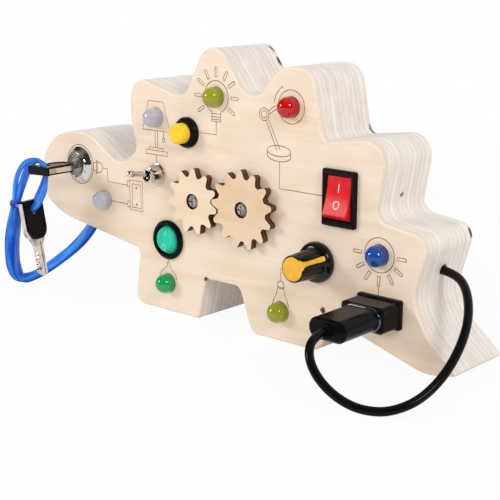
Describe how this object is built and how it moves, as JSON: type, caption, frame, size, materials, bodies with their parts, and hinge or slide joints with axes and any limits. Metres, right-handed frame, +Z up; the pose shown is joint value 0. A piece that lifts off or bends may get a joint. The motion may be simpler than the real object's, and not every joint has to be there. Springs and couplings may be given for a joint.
{
  "type": "wooden busy board with switches and lamps",
  "caption": "Free-standing plywood busy board in a dinosaur outline, with key lock, toggle, push button, rockers, dimmer, plug and meshing gears beside small lamps.",
  "frame": {"origin": "middle of the hind foot's sole, half way through the board's thickness, on the surface that the board stands on", "axes": "+X along the board towards the tail, +Y through the board towards the back panel, +Z up"},
  "size_m": [0.2298, 0.0794, 0.1107],
  "materials": {
    "birch_front": "bare sanded birch plywood face, fine horizontal grain",
    "birch_frame": "cut plywood edge, pale with thin ply lines",
    "birch_back": "bare sanded birch plywood",
    "birch_gear_small": "laser-cut plywood with burnt edges",
    "birch_gear_large": "laser-cut plywood with burnt edges",
    "zinc_screw": "zinc plated",
    "chrome_lock": "polished",
    "chrome_toggle": "polished",
    "nickel_key": "brushed nickel",
    "spring_steel": "plain wire",
    "tinned_wire": "tinned",
    "brass_contact": "plain",
    "black_plastic": "gloss black",
    "black_rubber": "satin black moulding",
    "black_cable": "glossy black sheath",
    "yellow_cap": "satin yellow",
    "yellow_pointer": "golden yellow",
    "red_paddle": "translucent red",
    "teal_paddle": "translucent teal",
    "lamp_white": "diffused milky white",
    "lamp_lime": "diffused yellow-green",
    "lamp_red": "diffused red",
    "lamp_blue": "diffused blue",
    "lamp_green": "diffused green",
    "blue_ribbon": "satin weave",
    "cell_jacket": "plain sleeve"
  },
  "bodies": {
    "board": {"front_panel": "birch_front", "frame_body": "birch_frame", "back_panel": "birch_back", "gear_screws": "zinc_screw", "gear_spacers": "zinc_screw", "lock_housing": "chrome_lock", "lock_switch_base": "black_plastic", "lock_nut": "chrome_lock", "toggle_case": "chrome_toggle", "toggle_nut": "chrome_toggle", "button_housing": "black_plastic", "button_spring": "spring_steel", "button_nut": "black_plastic", "rocker_frame": "black_plastic", "round_rocker_frame": "black_plastic", "blade_tabs": "brass_contact", "solder_lugs": "brass_contact", "lamp_legs": "tinned_wire", "dimmer_body": "nickel_key", "dimmer_nut": "zinc_screw", "socket_housing": "black_plastic", "socket_pins": "brass_contact", "power_cable": "black_cable", "cable_stop": "black_rubber", "ribbon_tether": "blue_ribbon", "ribbon_loop": "blue_ribbon", "ribbon_knot": "blue_ribbon", "ribbon_anchor": "blue_ribbon", "battery_box": "black_plastic", "battery_cover": "birch_back", "battery_cover_screws": "zinc_screw", "battery_cells": "cell_jacket", "battery_contacts": "spring_steel", "lamp_white_key": "lamp_white", "lamp_white_toggle": "lamp_white", "lamp_lime_button": "lamp_lime", "lamp_lime_dimmer": "lamp_lime", "lamp_red_rocker": "lamp_red", "lamp_blue_socket": "lamp_blue", "lamp_green_rocker": "lamp_green"},
    "lock_core": {"lock_plug": "chrome_lock", "key_blade": "nickel_key", "key_grip": "black_plastic"},
    "spare_key": {"spare_key_blade": "nickel_key", "spare_key_grip": "black_plastic"},
    "toggle_arm": {"toggle_lever": "chrome_toggle"},
    "push_cap": {"button_cap": "yellow_cap"},
    "rocker": {"rocker_paddle": "red_paddle"},
    "round_rocker": {"round_rocker_paddle": "teal_paddle"},
    "dimmer": {"dimmer_shaft": "nickel_key", "dimmer_knob": "black_plastic", "dimmer_pointer": "yellow_pointer"},
    "large_wheel": {"large_gear": "birch_gear_large"},
    "small_wheel": {"small_gear": "birch_gear_small"},
    "plug": {"plug_body": "black_rubber", "plug_sleeves": "brass_contact"}
  },
  "joints": [
    {"name": "key_turn", "type": "hinge", "parent": "board", "child": "lock_core", "pos_m": [-0.117, -0.0155, 0.056], "axis": [0, 1, 0], "range_deg": [0, 90], "deforming": ["ribbon_loop"]},
    {"name": "spare_key_swing", "type": "hinge", "parent": "board", "child": "spare_key", "pos_m": [-0.123, -0.0385, 0.0387], "axis": [0.9667, 0.1879, 0.1736], "range_deg": [-25, 25]},
    {"name": "toggle_flip", "type": "hinge", "parent": "board", "child": "toggle_arm", "pos_m": [-0.069, -0.0175, 0.0575], "axis": [1, 0, 0], "range_deg": [0, 18]},
    {"name": "button_press", "type": "slide", "parent": "board", "child": "push_cap", "axis": [0, 1, 0], "range_m": [0, 0.0025], "stiffness_N_per_m": 500, "springref_m": -0.001, "deforming": ["button_spring"]},
    {"name": "rocker_tilt", "type": "hinge", "parent": "board", "child": "rocker", "pos_m": [0.0258, -0.0135, 0.0603], "axis": [1, 0, 0], "range_deg": [0, 26]},
    {"name": "round_rocker_tilt", "type": "hinge", "parent": "board", "child": "round_rocker", "pos_m": [-0.0624, -0.0135, 0.0308], "axis": [1, 0, 0], "range_deg": [0, 20]},
    {"name": "dimmer_turn", "type": "hinge", "parent": "board", "child": "dimmer", "pos_m": [0.0161, -0.0155, 0.035], "axis": [0, 1, 0], "range_deg": [-213, 87]},
    {"name": "large_gear_spin", "type": "hinge", "parent": "board", "child": "large_wheel", "pos_m": [-0.019, -0.0155, 0.0501], "axis": [0, 1, 0], "continuous": true},
    {"name": "small_gear_spin", "type": "hinge", "parent": "board", "child": "small_wheel", "pos_m": [-0.0451, -0.0155, 0.0498], "axis": [0, 1, 0], "continuous": true},
    {"name": "plug_pull", "type": "slide", "parent": "board", "child": "plug", "axis": [0, -1, 0], "range_m": [0, 0.012], "deforming": ["power_cable"]}
  ],
  "couplings": [
    {"joint": "small_gear_spin", "follows": "large_gear_spin", "ratio": -1.1818}
  ]
}
